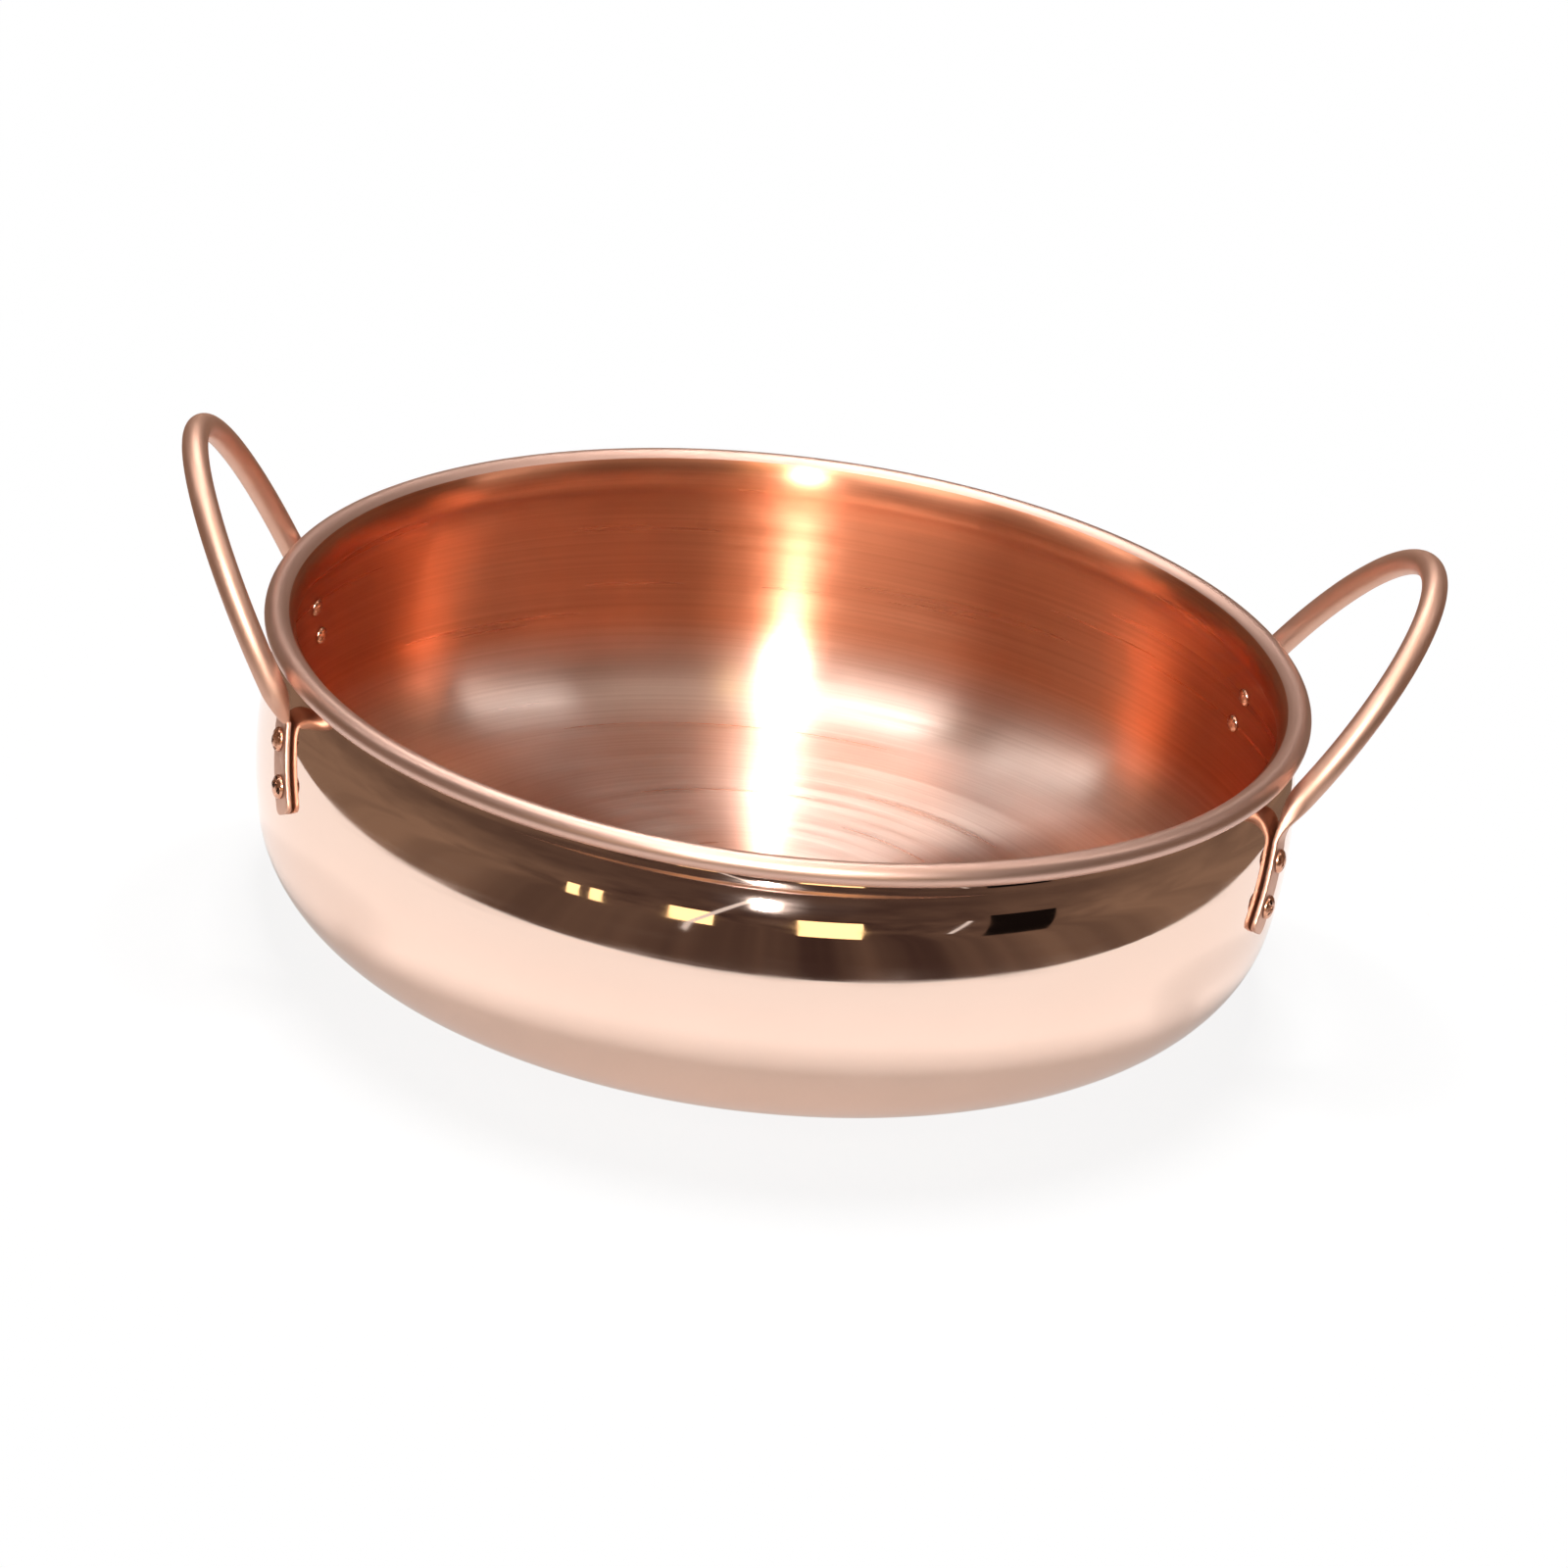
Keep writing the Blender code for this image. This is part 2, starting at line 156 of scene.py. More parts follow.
def settings():
    """The sizes and finishes as the sidebar shows them."""
    scene = bpy.context.scene
    return scene.pot_sizes, scene.handle_sizes, scene.rivet_sizes, scene.pot_finishes


# Shape of the wall and of the handles


def heading(turned):
    """Unit vector at an angle from the first axis of a plane."""
    return Vector((math.cos(turned), math.sin(turned)))


def blend(start, end, share):
    """Value that lies this share of the way from start to end."""
    return start + (end - start) * share


def ease(share):
    """Share that leaves 0 and reaches 1 without a kink."""
    return share * share * (3 - 2 * share)


def arc(centre, radius, start, end, steps):
    """Points along a circle's arc, both ends included."""
    return [centre + radius * heading(blend(start, end, i / steps)) for i in range(steps + 1)]


class Wall:
    """Half-section of the pot's wall as five arcs, each tangent to the next.

    A point is (distance from the axis, height). A depth counts from the wall's outer face
    into the metal.
    """

    def __init__(self, sizes):
        self.sizes = sizes
        self.curl = sizes.wire / 2 + sizes.fit
        self.bead_radius = self.curl + sizes.wall
        self.bead = Vector((sizes.rim_radius - self.bead_radius, sizes.height - self.bead_radius))
        neck_radius = sizes.belly_radius - sizes.neck_inset
        across = neck_radius + sizes.neck_curve - self.bead.x
        apart = sizes.neck_curve - self.curl
        self.neck = Vector((self.bead.x + across, self.bead.y - math.sqrt(apart**2 - across**2)))
        to_bead = self.bead - self.neck
        self.lip_angle = math.atan2(to_bead.y, to_bead.x)

        self.belly = Vector((sizes.belly_radius - sizes.belly_curve, sizes.height - sizes.belly_drop))
        self.shoulder_height = sizes.height - sizes.shoulder_drop
        self.shoulder_angle = self.belly_angle(self.shoulder_height)
        normal = heading(self.shoulder_angle)
        to_start = self.belly + sizes.belly_curve * normal - self.neck
        spread = to_start.length_squared - sizes.neck_curve**2
        self.shoulder_radius = spread / (2 * (to_start.dot(normal) + sizes.neck_curve))
        self.shoulder = self.belly + (sizes.belly_curve - self.shoulder_radius) * normal
        to_neck = self.neck - self.shoulder
        self.neck_angle = math.atan2(to_neck.y, to_neck.x)

        rise = self.belly.y - sizes.corner_radius
        self.corner_angle = -math.asin(rise / (sizes.belly_curve - sizes.corner_radius))
        self.corner = self.belly + (sizes.belly_curve - sizes.corner_radius) * heading(self.corner_angle)

    def belly_angle(self, height):
        """Angle of the belly's outward normal above the horizontal."""
        return math.asin((height - self.belly.y) / self.sizes.belly_curve)

    def belly_point(self, turned, depth):
        """Point at this depth where the belly's normal stands at this angle."""
        return self.belly + (self.sizes.belly_curve - depth) * heading(turned)

    def curl_sweep(self):
        """Angle that the lip curls through before its free edge nears the neck."""
        reach = self.sizes.neck_curve - self.sizes.seam
        apart = self.sizes.neck_curve - self.curl
        cosine = (reach**2 - apart**2 - self.bead_radius**2) / (2 * apart * self.bead_radius)
        return 2 * math.pi - math.acos(cosine)

    def path(self, depth):
        """Points at one depth from the curl's free edge down to the edge of the flat base."""
        sizes = self.sizes
        stretches = (
            (self.bead, self.curl + depth, self.lip_angle - self.curl_sweep(), self.lip_angle, 30),
            (self.neck, sizes.neck_curve + depth, self.lip_angle, self.neck_angle + math.pi, 10),
            (self.shoulder, self.shoulder_radius - depth, self.neck_angle, self.shoulder_angle, 12),
            (self.belly, sizes.belly_curve - depth, self.shoulder_angle, self.corner_angle, 20),
            (self.corner, sizes.corner_radius - depth, self.corner_angle, -math.pi / 2, 16),
        )
        points = []
        for centre, radius, start, end, steps in stretches:
            first = 1 if points else 0
            points += arc(centre, radius, start, end, steps)[first:]
        return points


class Handle:
    """How one handle is set on the pot, and where its rod and rivets run."""

    def __init__(self, wall, sizes, rivets, side_name):
        self.wall = wall
        self.sizes = sizes
        self.pitch = rivets.pitch
        self.turn = getattr(sizes, f"{side_name}_turn")
        self.tilt = getattr(sizes, f"{side_name}_tilt")
        self.rivet_height = wall.shoulder_height - getattr(sizes, f"{side_name}_drop")
        self.loop_height = wall.shoulder_height + getattr(sizes, f"{side_name}_rise")
        self.standoff = math.sqrt(wall.sizes.belly_radius**2 - sizes.loop_half_width**2)
        self.depth = -(wall.sizes.fit + sizes.foot_thickness / 2)

    def foot_place(self, run, side):
        """Middle of a foot and its outward normal, this far down from the upper rivet."""
        sizes = self.sizes
        height = self.rivet_height + side * sizes.foot_cant - run * math.cos(sizes.foot_splay)
        lift = self.wall.belly_angle(height)
        point = self.wall.belly_point(lift, self.depth)
        spread = sizes.loop_half_width + sizes.foot_outset + run * math.sin(sizes.foot_splay)
        aside = side * spread - sizes.foot_shift
        azimuth = math.asin(aside / point.x)
        place = Vector((point.x * math.cos(azimuth), aside, point.y))
        level = math.cos(lift)
        normal = Vector((level * math.cos(azimuth), level * math.sin(azimuth), math.sin(lift)))
        return place, normal

    def foot_half_width(self, from_end):
        """Half the width of a foot at a distance from its rounded end."""
        sizes = self.sizes
        if from_end >= sizes.foot_corner:
            return sizes.foot_width / 2
        drop = sizes.foot_corner - from_end
        return sizes.foot_width / 2 - sizes.foot_corner + math.sqrt(sizes.foot_corner**2 - drop**2)

    def foot_stations(self, side):
        """Stations of a foot, from its rounded end up to where it leaves the belly."""
        sizes = self.sizes
        end_run = self.pitch + sizes.foot_toe
        whole = end_run + sizes.foot_heel
        corner = [sizes.foot_corner * (1 - math.cos(math.pi / 2 * i / 6)) for i in range(6)]
        body = [blend(sizes.foot_corner, whole, i / 14) for i in range(15)]
        stations = []
        for from_end in corner + body:
            place, normal = self.foot_place(end_run - from_end, side)
            stations.append((place, normal, self.foot_half_width(from_end), 1.0))
        return stations

    def loop_stations(self, side):
        """Stations of half the loop, from above the foot to the middle of the arch."""
        sizes = self.sizes
        normal = Vector((math.cos(self.tilt), 0, -math.sin(self.tilt)))
        first = math.asin(sizes.leg_start / sizes.loop_length)
        stations = []
        for i in range(41):
            share = math.sin(blend(first, math.pi / 2, i / 40))
            up = sizes.loop_length * share
            place = Vector((
                self.standoff + up * math.sin(self.tilt),
                side * sizes.loop_half_width * math.sqrt(max(0, 1 - share**2)),
                self.loop_height + up * math.cos(self.tilt),
            ))
            stations.append((place, normal, sizes.rod / 2, 0.0))
        return stations

    def bend_stations(self, foot, loop):
        """Stations between foot and loop, where the rod swells from flat to round."""
        sizes = self.sizes
        start, start_normal = foot[-1][:2]
        end, end_normal = loop[0][:2]
        span = (end - start).length
        leave = (start - foot[-2][0]).normalized() * span
        arrive = (loop[1][0] - end).normalized() * span
        stations = []
        for i in range(1, 18):
            t = i / 18
            place = (
                start * (2 * t**3 - 3 * t**2 + 1)
                + leave * (t**3 - 2 * t**2 + t)
                + end * (3 * t**2 - 2 * t**3)
                + arrive * (t**3 - t**2)
            )
            flatness = 1 - ease(t)
            half_width = blend(sizes.rod / 2, sizes.foot_width / 2, flatness)
            stations.append((place, start_normal.lerp(end_normal, t), half_width, flatness))
        return stations

    def half(self, side):
        """Stations from the end of one foot to the middle of the arch."""
        foot = self.foot_stations(side)
        loop = self.loop_stations(side)
        return foot + self.bend_stations(foot, loop) + loop

    def rings(self):
        """Rings of points along the whole rod, the length along it and the flatness of each."""
        stations = self.half(1) + self.half(-1)[-2::-1]
        turned = Matrix.Rotation(self.turn, 3, "Z")
        rings = []
        run = 0
        for i, (place, normal, half_width, flatness) in enumerate(stations):
            before = stations[max(i - 1, 0)][0]
            after = stations[min(i + 1, len(stations) - 1)][0]
            along = (after - before).normalized()
            outward = (normal - along * normal.dot(along)).normalized()
            aside = along.cross(outward)
            half_thickness = blend(self.sizes.rod, self.sizes.foot_thickness, flatness) / 2
            power = 2 / blend(ROUND_SECTION, FLAT_SECTION, flatness)
            ring = []
            for j in range(self.sizes.sides):
                spoke = heading(2 * math.pi * j / self.sizes.sides)
                across = math.copysign(abs(spoke.x) ** power, spoke.x) * half_width
                through = math.copysign(abs(spoke.y) ** power, spoke.y) * half_thickness
                ring.append(turned @ (place + aside * across + outward * through))
            if i:
                run += (place - before).length
            rings.append((ring, run, flatness))
        return rings

    def rivet_frames(self):
        """Place and turn of the four rivets, by the name of each."""
        frames = {}
        for side in (-1, 1):
            for level, run in (("lower", self.pitch), ("upper", 0)):
                place, normal = self.foot_place(run, side)
                face = Matrix.Translation(place + normal * self.depth)
                frame_here = face @ normal.to_track_quat("Z", "X").to_matrix().to_4x4()
                world = Matrix.Rotation(self.turn, 4, "Z") @ frame_here
                foot = "front" if world.translation.y < 0 else "back"
                frames[f"{foot}_{level}"] = world
        return frames


# Ways of shaping a mesh


def deselect():
    """Nothing selected, in object mode."""
    if bpy.context.object and bpy.context.object.mode != "OBJECT":
        bpy.ops.object.mode_set(mode="OBJECT")
    bpy.ops.object.select_all(action="DESELECT")


def start_disc(name, steps, radius, height):
    """A disc as the start of a turned or lofted piece, its edge selected in edit mode."""
    deselect()
    bpy.ops.mesh.primitive_circle_add(
        vertices=steps, radius=radius, fill_type="NGON", location=(0, 0, height)
    )
    piece = bpy.context.object
    piece.name = name
    piece.data.name = name
    bpy.ops.object.transform_apply(location=True, rotation=True, scale=True)
    bpy.ops.object.mode_set(mode="EDIT")
    bpy.ops.mesh.select_mode(type="FACE")
    bpy.ops.mesh.select_all(action="SELECT")
    return piece


def turned_piece(name, steps, line):
    """Closed body of revolution: a disc is drawn up and in or out along the line's points.

    The first and last points are the radii of its two flat ends.
    """
    piece = start_disc(name, steps, line[0].x, line[0].y)
    for before, after in zip(line, line[1:]):
        bpy.ops.mesh.extrude_region_move(
            TRANSFORM_OT_translate={"value": (0, 0, after.y - before.y)}
        )
        grow = after.x / before.x
        bpy.ops.transform.resize(value=(grow, grow, 1), center_override=(0, 0, after.y))
    close_up()
    return piece


def close_up():
    """Turn the mesh's faces outwards in edit mode and go back to object mode."""
    bpy.ops.mesh.select_all(action="SELECT")
    bpy.ops.mesh.normals_make_consistent(inside=False)
    bpy.ops.object.mode_set(mode="OBJECT")


def drawn_piece(name, rings):
    """Closed rod: a disc is extruded once for each ring, and its edge is then put on that ring."""
    piece = start_disc(name, len(rings[0][0]), 1, 0)
    shape = bmesh.from_edit_mesh(piece.data)
    shape.verts.ensure_lookup_table()
    order = {i: i for i in range(len(shape.verts))}
    spots = {}
    for i, (ring, run, flatness) in enumerate(rings):
        if i:
            bpy.ops.mesh.extrude_region_move()
            shape = bmesh.from_edit_mesh(piece.data)
            shape.verts.index_update()
            order = follow(shape, order)
        shape.verts.ensure_lookup_table()
        for index, j in order.items():
            shape.verts[index].co = ring[j]
            spots[index] = (run, j, flatness)
    bmesh.update_edit_mesh(piece.data)
    close_up()
    map_run(piece, spots, len(rings[0][0]))
    return piece


def follow(shape, order):
    """Place round the ring of each point of the newest ring, from the point that it came from."""
    newest = {}
    for vert in shape.verts:
        if vert.select:
            for edge in vert.link_edges:
                other = edge.other_vert(vert)
                if not other.select:
                    newest[vert.index] = order[other.index]
    return newest


def map_run(piece, spots, sides):
    """UV map with the length along the rod and the share round it, and a flatness attribute."""
    mesh = piece.data
    layer = mesh.uv_layers.new(name="run")
    flat = mesh.attributes.new("flatness", "FLOAT", "POINT")
    for index, (run, j, flatness) in spots.items():
        flat.data[index].value = flatness
    for face in mesh.polygons:
        places = [spots[mesh.loops[k].vertex_index][1] for k in face.loop_indices]
        wraps = 0 in places and sides - 1 in places and len(places) == 4
        for k in face.loop_indices:
            run, j, flatness = spots[mesh.loops[k].vertex_index]
            turn_share = (sides if wraps and j == 0 else j) / sides
            layer.data[k].uv = (run, turn_share)


def smooth_shade(piece, sharp):
    """Smooth shading that keeps edges over this angle sharp."""
    deselect()
    piece.select_set(True)
    bpy.context.view_layer.objects.active = piece
    bpy.ops.object.shade_smooth_by_angle(angle=math.radians(sharp))


# Materials


def add_node(tree, kind, inputs=None, **choices):
    """Node of this kind with its settings, and its inputs set or linked."""
    made = tree.nodes.new(kind)
    for name, value in choices.items():
        setattr(made, name, value)
    for socket, value in (inputs or {}).items():
        if isinstance(value, bpy.types.NodeSocket):
            tree.links.new(value, made.inputs[socket])
        else:
            made.inputs[socket].default_value = value
    return made


def bare_metal(name, metal_colour, roughness, anisotropic=0.0):
    """Metal material with nothing on it yet, its tree and its shader."""
    material = bpy.data.materials.new(name)
    material.use_nodes = True
    tree = material.node_tree
    shader = tree.nodes["Principled BSDF"]
    shader.inputs["Base Color"].default_value = (*metal_colour, 1)
    shader.inputs["Metallic"].default_value = 1
    shader.inputs["Roughness"].default_value = roughness
    shader.inputs["Anisotropic"].default_value = anisotropic
    shader.inputs["Anisotropic Rotation"].default_value = 0.25
    return material, tree, shader


def scaled(metal_colour, share):
    """A colour made darker, its blue and green more than its red."""
    return [metal_colour[0] * share, metal_colour[1] * share**1.35, metal_colour[2] * share**1.6]


def circle_place(tree, ring, drift):
    """Coordinates that change fast across a turned piece's rings and slowly round them.

    The ring is the spacing of the pattern in metres and the drift its turns of change a circle.
    """
    place = add_node(tree, "ShaderNodeTexCoord").outputs["Object"]
    split = add_node(tree, "ShaderNodeSeparateXYZ", {"Vector": place})
    level = add_node(
        tree, "ShaderNodeCombineXYZ", {"X": split.outputs["X"], "Y": split.outputs["Y"]}
    )
    out = add_node(tree, "ShaderNodeVectorMath", {0: level.outputs[0]}, operation="LENGTH")
    across = add_node(
        tree, "ShaderNodeMath", {0: out.outputs["Value"], 1: 1 / ring}, operation="MULTIPLY"
    )
    up = add_node(tree, "ShaderNodeMath", {0: split.outputs["Z"], 1: 1 / ring}, operation="MULTIPLY")
    unit = add_node(tree, "ShaderNodeVectorMath", {0: level.outputs[0]}, operation="NORMALIZE")
    round_it = add_node(
        tree, "ShaderNodeVectorMath", {0: unit.outputs[0], "Scale": drift}, operation="SCALE"
    )
    along = add_node(tree, "ShaderNodeSeparateXYZ", {"Vector": round_it.outputs[0]})
    total = add_node(
        tree, "ShaderNodeMath", {0: across.outputs[0], 1: up.outputs[0]}, operation="ADD"
    )
    made = add_node(
        tree,
        "ShaderNodeCombineXYZ",
        {"X": total.outputs[0], "Y": along.outputs["X"], "Z": along.outputs["Y"]},
    )
    return made.outputs[0]


def polished_copper(finish):
    """Sheet copper, spun and buffed to a mirror: clear reflections that waver a little.

    The buffing leaves a faint haze in wisps round the pot and the spinning a slight unevenness.
    """
    material, tree, shader = bare_metal("Polished copper", finish.polished, 0.05)
    place = add_node(tree, "ShaderNodeTexCoord").outputs["Object"]
    rings = circle_place(tree, 0.0022, 2.5)
    cloud = add_node(tree, "ShaderNodeTexNoise", {"Vector": place, "Scale": 1 / 0.040, "Detail": 3.0})
    wisps = add_node(tree, "ShaderNodeTexNoise", {"Vector": rings, "Scale": 1.0, "Detail": 3.0})
    haze = add_node(
        tree, "ShaderNodeMath", {0: cloud.outputs[0], 1: wisps.outputs[0]}, operation="MULTIPLY"
    )
    rough = add_node(
        tree,
        "ShaderNodeMapRange",
        {"Value": haze.outputs[0], "From Min": 0.12, "From Max": 0.42, "To Min": 0.02, "To Max": 0.12},
    )
    tree.links.new(rough.outputs[0], shader.inputs["Roughness"])
    worn = add_node(
        tree,
        "ShaderNodeMix",
        {0: cloud.outputs[0], 6: (*scaled(finish.polished, 0.95), 1), 7: (*finish.polished, 1)},
        data_type="RGBA",
    )
    tree.links.new(worn.outputs[2], shader.inputs["Base Color"])
    waves = add_node(tree, "ShaderNodeTexNoise", {"Vector": place, "Scale": 1 / 0.045, "Detail": 1.0})
    wavy = add_node(
        tree, "ShaderNodeBump", {"Height": waves.outputs[0], "Distance": 0.0002, "Strength": 0.12}
    )
    ringed = add_node(
        tree,
        "ShaderNodeBump",
        {
            "Height": wisps.outputs[0],
            "Distance": 0.00001,
            "Strength": 0.08,
            "Normal": wavy.outputs[0],
        },
    )
    tree.links.new(ringed.outputs[0], shader.inputs["Normal"])
    return material


def brushed_copper(finish):
    """Sheet copper brushed in circles on the lathe: satin, with light drawn out across the rings.

    The real lines lie about 0.1 mm apart. They are drawn 1.2 mm apart, with bands of 5 mm, so
    that they show. Up the wall the colour turns redder, a painted reflection of copper in copper.
    """
    material, tree, shader = bare_metal("Brushed copper", finish.brushed, 0.30, 1.0)
    around = add_node(tree, "ShaderNodeTangent", direction_type="RADIAL", axis="Z")
    tree.links.new(around.outputs[0], shader.inputs["Tangent"])
    place = add_node(tree, "ShaderNodeTexCoord").outputs["Object"]
    lines_at = circle_place(tree, 0.0012, 1.2)
    bands_at = circle_place(tree, 0.0050, 0.8)
    lines = add_node(
        tree, "ShaderNodeTexNoise", {"Vector": lines_at, "Scale": 1.0, "Detail": 2.0, "Roughness": 0.5}
    )
    bands = add_node(
        tree, "ShaderNodeTexNoise", {"Vector": bands_at, "Scale": 1.0, "Detail": 2.0, "Roughness": 0.5}
    )
    rough = add_node(
        tree,
        "ShaderNodeMapRange",
        {"Value": bands.outputs[0], "From Min": 0.3, "From Max": 0.7, "To Min": 0.27, "To Max": 0.36},
    )
    tree.links.new(rough.outputs[0], shader.inputs["Roughness"])
    cloud = add_node(tree, "ShaderNodeTexNoise", {"Vector": place, "Scale": 1 / 0.050, "Detail": 3.0})
    shade = add_node(
        tree, "ShaderNodeMath", {0: cloud.outputs[0], 1: lines.outputs[0]}, operation="ADD"
    )
    worn = add_node(
        tree,
        "ShaderNodeMapRange",
        {"Value": shade.outputs[0], "From Min": 0.7, "From Max": 1.3},
    )
    split = add_node(tree, "ShaderNodeSeparateXYZ", {"Vector": place})
    # Painted reflection: from the floor up the inner wall the colour turns redder, standing in for copper
    # mirroring copper.
    painted_red_up_wall = add_node(
        tree,
        "ShaderNodeMapRange",
        {"Value": split.outputs["Z"], "From Min": 0.006, "From Max": 0.035},
        interpolation_type="SMOOTHSTEP",
    )
    ground = add_node(
        tree,
        "ShaderNodeMix",
        {0: painted_red_up_wall.outputs[0], 6: (*finish.brushed, 1), 7: (*finish.painted_reflection_red, 1)},
        data_type="RGBA",
    )
    dulled = add_node(
        tree,
        "ShaderNodeMix",
        {0: worn.outputs[0], 6: (*scaled((1, 1, 1), 0.86), 1), 7: (1, 1, 1, 1)},
        data_type="RGBA",
    )
    tone = add_node(
        tree,
        "ShaderNodeMix",
        {0: 1.0, 6: ground.outputs[2], 7: dulled.outputs[2]},
        data_type="RGBA",
        blend_type="MULTIPLY",
    )
    tree.links.new(tone.outputs[2], shader.inputs["Base Color"])
    brushed = add_node(
        tree, "ShaderNodeBump", {"Height": lines.outputs[0], "Distance": 0.00001, "Strength": 0.009}
    )
    tree.links.new(brushed.outputs[0], shader.inputs["Normal"])
    return material


def rim_copper(finish):
    """The bead: copper rolled over the wire and wiped bright, softer than the wall's mirror."""
    material, tree, shader = bare_metal("Rolled rim copper", finish.bead, 0.18)
    wiped = circle_place(tree, 0.0006, 4.0)
    lines = add_node(tree, "ShaderNodeTexNoise", {"Vector": wiped, "Scale": 1.0, "Detail": 2.0})
    rough = add_node(
        tree, "ShaderNodeMapRange", {"Value": lines.outputs[0], "To Min": 0.34, "To Max": 0.50}
    )
    tree.links.new(rough.outputs[0], shader.inputs["Roughness"])
    wavy = add_node(
        tree, "ShaderNodeBump", {"Height": lines.outputs[0], "Distance": 0.00001, "Strength": 0.2}
    )
    tree.links.new(wavy.outputs[0], shader.inputs["Normal"])
    return material


def rod_copper(finish):
    """Drawn copper rod: satin with fine lines along it, and hammered where it is flat.

    The real draw lines lie about 0.1 mm apart and are drawn 0.5 mm apart.
    """
    material, tree, shader = bare_metal("Drawn copper rod", finish.rod, 0.2)
    run = add_node(tree, "ShaderNodeUVMap", uv_map="run")
    split = add_node(tree, "ShaderNodeSeparateXYZ", {"Vector": run.outputs["UV"]})
    turned = add_node(
        tree, "ShaderNodeMath", {0: split.outputs["Y"], 1: 2 * math.pi}, operation="MULTIPLY"
    )
    cosine = add_node(tree, "ShaderNodeMath", {0: turned.outputs[0]}, operation="COSINE")
    sine = add_node(tree, "ShaderNodeMath", {0: turned.outputs[0]}, operation="SINE")
    slow = add_node(tree, "ShaderNodeMath", {0: split.outputs["X"], 1: 18.0}, operation="MULTIPLY")
    spot = add_node(
        tree,
        "ShaderNodeCombineXYZ",
        {"X": slow.outputs[0], "Y": cosine.outputs[0], "Z": sine.outputs[0]},
    )
    lines = add_node(
        tree,
        "ShaderNodeTexNoise",
        {"Vector": spot.outputs[0], "Scale": 7.0, "Detail": 3.0, "Roughness": 0.6},
    )
    place = add_node(tree, "ShaderNodeTexCoord").outputs["Object"]
    dents = add_node(tree, "ShaderNodeTexNoise", {"Vector": place, "Scale": 1 / 0.0028, "Detail": 1.0})
    flat = add_node(tree, "ShaderNodeAttribute", attribute_name="flatness")
    hammered = add_node(
        tree, "ShaderNodeMath", {0: dents.outputs[0], 1: flat.outputs["Fac"]}, operation="MULTIPLY"
    )
    rough = add_node(
        tree, "ShaderNodeMapRange", {"Value": lines.outputs[0], "To Min": 0.40, "To Max": 0.56}
    )
    tree.links.new(rough.outputs[0], shader.inputs["Roughness"])
    cloud = add_node(tree, "ShaderNodeTexNoise", {"Vector": place, "Scale": 1 / 0.012, "Detail": 3.0})
    tone = add_node(
        tree,
        "ShaderNodeMix",
        {0: cloud.outputs[0], 6: (*scaled(finish.rod, 0.86), 1), 7: (*finish.rod, 1)},
        data_type="RGBA",
    )
    tree.links.new(tone.outputs[2], shader.inputs["Base Color"])
    drawn = add_node(
        tree, "ShaderNodeBump", {"Height": lines.outputs[0], "Distance": 0.00003, "Strength": 0.35}
    )
    dented = add_node(
        tree,
        "ShaderNodeBump",
        {
            "Height": hammered.outputs[0],
            "Distance": 0.0003,
            "Strength": 0.6,
            "Normal": drawn.outputs[0],
        },
    )
    tree.links.new(dented.outputs[0], shader.inputs["Normal"])
    return material


def rivet_copper(finish):
    """Copper rivets peened cold: small bright hammer marks and a little dirt."""
    material, tree, shader = bare_metal("Peened copper", finish.rivet, 0.24)
    place = add_node(tree, "ShaderNodeTexCoord").outputs["Object"]
    marks = add_node(tree, "ShaderNodeTexNoise", {"Vector": place, "Scale": 1 / 0.0011})
    rough = add_node(
        tree, "ShaderNodeMapRange", {"Value": marks.outputs[0], "To Min": 0.16, "To Max": 0.36}
    )
    tree.links.new(rough.outputs[0], shader.inputs["Roughness"])
    tone = add_node(
        tree,
        "ShaderNodeMix",
        {0: marks.outputs[0], 6: (*scaled(finish.rivet, 0.75), 1), 7: (*finish.rivet, 1)},
        data_type="RGBA",
    )
    tree.links.new(tone.outputs[2], shader.inputs["Base Color"])
    peened = add_node(
        tree, "ShaderNodeBump", {"Height": marks.outputs[0], "Distance": 0.00015, "Strength": 0.5}
    )
    tree.links.new(peened.outputs[0], shader.inputs["Normal"])
    return material


def wire_steel(finish):
    """Plain drawn steel wire, grey and slightly dull."""
    material, tree, shader = bare_metal("Drawn steel wire", finish.steel, 0.42)
    place = add_node(tree, "ShaderNodeTexCoord").outputs["Object"]
    scale = add_node(tree, "ShaderNodeTexNoise", {"Vector": place, "Scale": 1 / 0.002, "Detail": 3.0})
    rough = add_node(
        tree, "ShaderNodeMapRange", {"Value": scale.outputs[0], "To Min": 0.35, "To Max": 0.5}
    )
    tree.links.new(rough.outputs[0], shader.inputs["Roughness"])
    return material


# Pieces


class HOTPOT_OT_pot_body(bpy.types.Operator):
    """Spun shell with its lip rolled round the rim wire"""

    bl_idname = "hotpot.pot_body"
    bl_label = "Pot body"

    def execute(self, context):
        sizes, handles, rivets, finish = settings()
        wall = Wall(sizes)
        outer = wall.path(0)[::-1]
        inner = wall.path(sizes.wall)
        floor_steps = [0.8, 0.6, 0.4, 0.2, 0.05]
        floor = [Vector((inner[-1].x * share, inner[-1].y)) for share in floor_steps]
        pot = turned_piece("pot_shell", sizes.turn_steps, outer + inner + floor)
        for material in (polished_copper(finish), brushed_copper(finish), rim_copper(finish)):
            pot.data.materials.append(material)
        for face in pot.data.polygons:
            out = Vector((face.center.x, face.center.y))
            from_bead = Vector((out.length, face.center.z)) - wall.bead
            facing = face.normal.xy.dot(out.normalized()) if out.length > 0.001 else 0
            if abs(from_bead.length - wall.bead_radius) < sizes.wall / 3:
                face.material_index = 2
            elif facing < -0.02 or (abs(facing) <= 0.02 and face.normal.z > 0):
                face.material_index = 1
        smooth_shade(pot, 40)
        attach(pot, "root")
        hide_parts("pot_body")
        return {"FINISHED"}


